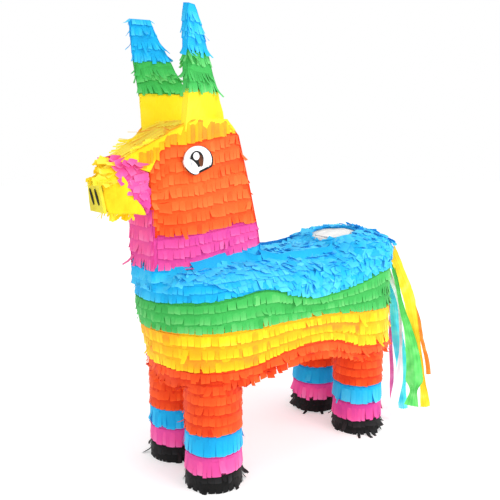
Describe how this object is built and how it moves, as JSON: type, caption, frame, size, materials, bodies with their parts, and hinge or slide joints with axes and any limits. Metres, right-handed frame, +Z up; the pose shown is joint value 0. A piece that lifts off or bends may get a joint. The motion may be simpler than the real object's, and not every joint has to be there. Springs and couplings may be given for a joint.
{
  "type": "pinata",
  "caption": "Donkey-shaped party pinata: hollow cardboard body, neck, head, ears and tube legs under rows of tissue fringe, with a filler flap.",
  "frame": {"origin": "on the ground, under the middle of the whole object", "axes": "+Z up; -X towards the nose and +X towards the tail; -Y is the donkey's left side"},
  "size_m": [0.5133, 0.1735, 0.5745],
  "materials": {
    "cardboard": "plain brown corrugated board",
    "sole_cardboard": "board with black paper pasted on",
    "flap_paper": "matte white paper",
    "muzzle_paper": "smooth matte paper",
    "eye_paper": "printed paper: white with a black outline, a brown iris and a black pupil",
    "nostril_paper": "matte dark paper",
    "orange_tissue": "crumpled matte tissue, cut in a fringe",
    "pink_tissue": "crumpled matte tissue, cut in a fringe",
    "blue_tissue": "crumpled matte tissue, cut in a fringe",
    "green_tissue": "crumpled matte tissue, cut in a fringe",
    "yellow_tissue": "crumpled matte tissue, cut in a fringe",
    "black_tissue": "crumpled matte tissue, cut in a fringe",
    "orange_ribbon": "loose tissue strip",
    "yellow_ribbon": "loose tissue strip",
    "green_ribbon": "loose tissue strip",
    "white_ribbon": "loose tissue strip",
    "cyan_ribbon": "loose tissue strip",
    "pink_ribbon": "loose tissue strip"
  },
  "bodies": {
    "body": {"chest_panel": "cardboard", "rump_panel": "cardboard", "left_side_panel": "cardboard", "right_side_panel": "cardboard", "back_panel": "cardboard", "belly_panel": "cardboard", "left_head_panel": "cardboard", "right_head_panel": "cardboard", "forehead_strip": "cardboard", "neck_rear_strip": "cardboard", "neck_front_strip": "cardboard", "chin_strip": "cardboard", "muzzle_plate": "muzzle_paper", "left_ear": "cardboard", "left_ear_green_fringe": "green_tissue", "left_ear_blue_fringe": "blue_tissue", "left_eye": "eye_paper", "left_nostril": "nostril_paper", "right_ear": "cardboard", "right_ear_green_fringe": "green_tissue", "right_ear_blue_fringe": "blue_tissue", "right_eye": "eye_paper", "right_nostril": "nostril_paper", "front_left_leg_tube": "cardboard", "front_left_hoof_sole": "sole_cardboard", "front_left_leg_blue_fringe": "blue_tissue", "front_left_leg_pink_fringe": "pink_tissue", "front_left_hoof_black_fringe": "black_tissue", "front_right_leg_tube": "cardboard", "front_right_hoof_sole": "sole_cardboard", "front_right_leg_blue_fringe": "blue_tissue", "front_right_leg_pink_fringe": "pink_tissue", "front_right_hoof_black_fringe": "black_tissue", "rear_left_leg_tube": "cardboard", "rear_left_hoof_sole": "sole_cardboard", "rear_left_leg_blue_fringe": "blue_tissue", "rear_left_leg_pink_fringe": "pink_tissue", "rear_left_hoof_black_fringe": "black_tissue", "rear_right_leg_tube": "cardboard", "rear_right_hoof_sole": "sole_cardboard", "rear_right_leg_blue_fringe": "blue_tissue", "rear_right_leg_pink_fringe": "pink_tissue", "rear_right_hoof_black_fringe": "black_tissue", "head_yellow_fringe": "yellow_tissue", "head_orange_fringe": "orange_tissue", "snout_yellow_fringe": "yellow_tissue", "snout_pink_fringe": "pink_tissue", "neck_pink_fringe": "pink_tissue", "body_blue_fringe": "blue_tissue", "body_green_fringe": "green_tissue", "body_yellow_fringe": "yellow_tissue", "body_orange_fringe": "orange_tissue", "tail_ribbon_orange": "orange_ribbon", "tail_ribbon_yellow": "yellow_ribbon", "tail_ribbon_green": "green_ribbon", "tail_ribbon_white": "white_ribbon", "tail_ribbon_cyan": "cyan_ribbon", "tail_ribbon_pink": "pink_ribbon"},
    "flap": {"filler_flap": "flap_paper"}
  },
  "joints": [
    {"name": "filler_flap_hinge", "type": "hinge", "parent": "body", "child": "flap", "pos_m": [0.0873, -0.01, 0.2904], "axis": [0, -1, 0], "range_deg": [0, 110]}
  ]
}
